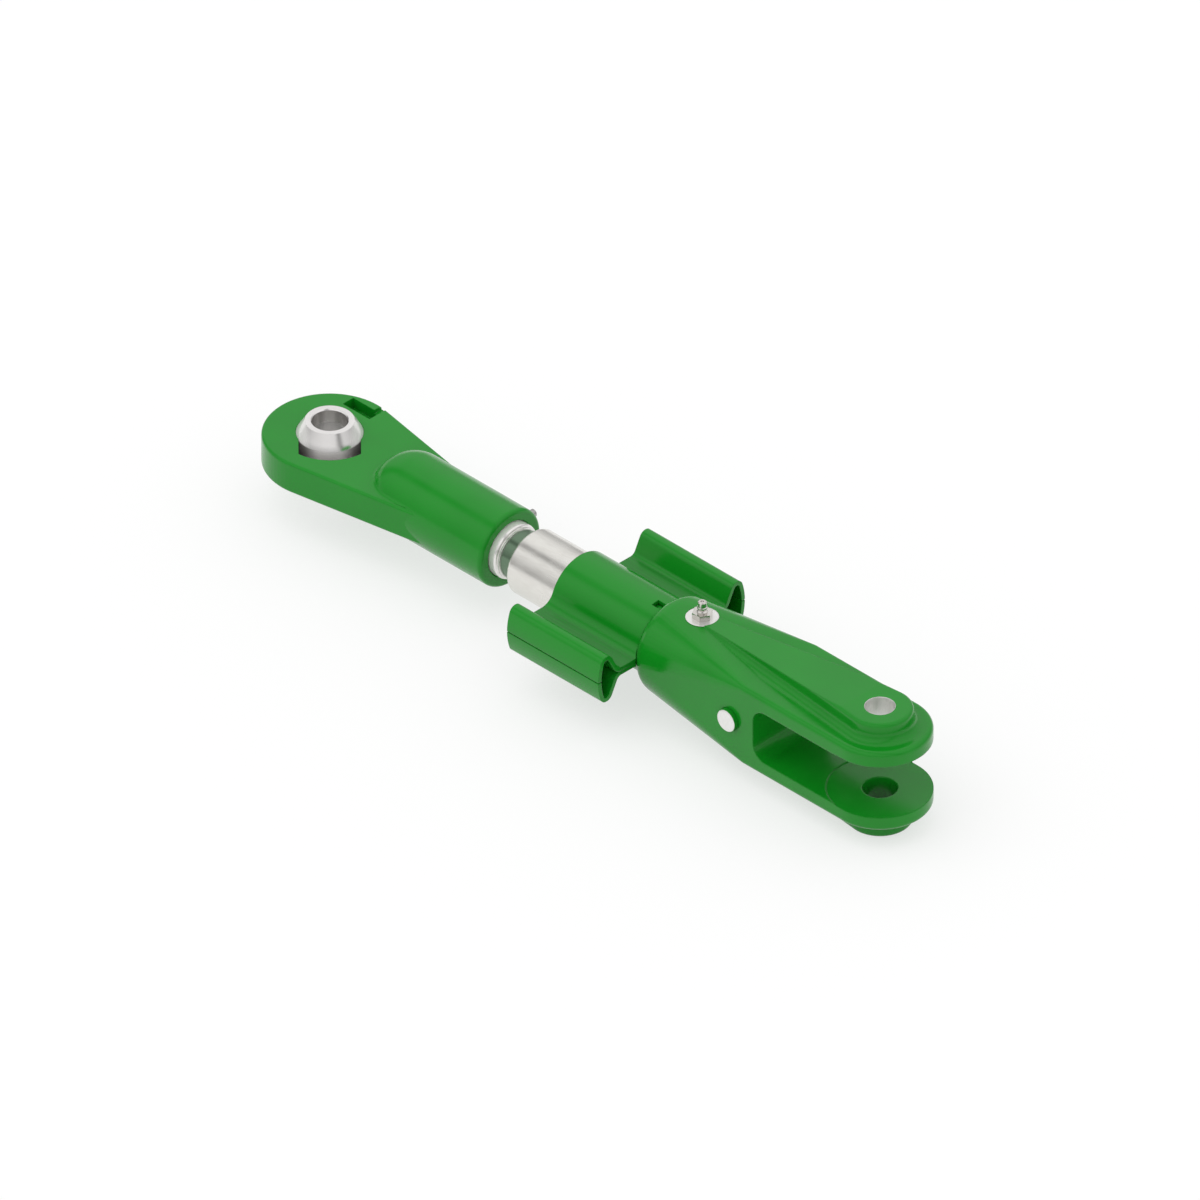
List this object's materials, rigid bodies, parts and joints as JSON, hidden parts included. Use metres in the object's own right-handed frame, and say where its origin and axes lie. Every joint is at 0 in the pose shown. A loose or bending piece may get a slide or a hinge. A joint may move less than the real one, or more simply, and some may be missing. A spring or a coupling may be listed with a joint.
{
  "type": "three-point lift link",
  "caption": "Adjustable tractor lift link: an eye with a swivel ball on a threaded barrel, a winged turning handle over a sleeve and screw, and a forged clevis with two bossed ears.",
  "frame": {"origin": "centre of the swivel ball, on the axis of its bore", "axes": "+X along the link from the ball to the clevis, +Z along the ball's bore and the clevis holes towards the tongue with the grease fitting, -Y towards the side of the loading slot"},
  "size_m": [0.6341, 0.146, 0.0986],
  "materials": {
    "green_paint": "satin enamel over a forged or pressed surface",
    "ball_steel": "hardened and polished",
    "screw_steel": "turned, lightly oiled",
    "sleeve_steel": "drawn, satin",
    "pin_steel": "turned",
    "fitting_steel": "zinc plated",
    "spring_steel": "bright wire",
    "washer_bronze": "machined bronze",
    "seal_rubber": "matt"
  },
  "bodies": {
    "clevis": {"clevis_body": "green_paint", "near_retaining_pin": "pin_steel", "far_retaining_pin": "pin_steel", "clevis_grease_fitting": "fitting_steel", "clevis_check_ball": "ball_steel", "clevis_check_spring": "spring_steel", "journal_seal": "seal_rubber", "thrust_washer": "washer_bronze"},
    "screw": {"adjusting_screw": "screw_steel", "turning_sleeve": "sleeve_steel", "sleeve_pin": "pin_steel", "near_drive_key": "pin_steel", "far_drive_key": "pin_steel"},
    "handle": {"handle_upper_half": "green_paint", "handle_lower_half": "green_paint"},
    "upper_end": {"upper_end": "green_paint", "barrel_grease_fitting": "fitting_steel", "barrel_check_ball": "ball_steel", "barrel_check_spring": "spring_steel"},
    "ball": {"swivel_ball": "ball_steel"}
  },
  "joints": [
    {"name": "screw_turn", "type": "hinge", "parent": "clevis", "child": "screw", "pos_m": [0.4, 0, 0], "axis": [1, 0, 0], "range_deg": [-720, 3600]},
    {"name": "barrel_travel", "type": "slide", "parent": "clevis", "child": "upper_end", "axis": [-1, 0, 0], "range_m": [-0.012, 0.06]},
    {"name": "handle_lift", "type": "slide", "parent": "screw", "child": "handle", "axis": [-1, 0, 0], "range_m": [0, 0.02]},
    {"name": "ball_swivel", "type": "hinge", "parent": "upper_end", "child": "ball", "pos_m": [0, 0, 0], "axis": [0, 1, 0], "range_deg": [-10, 10]}
  ],
  "couplings": [
    {"joint": "barrel_travel", "follows": "screw_turn", "m_per_rad": 0.00095493}
  ]
}
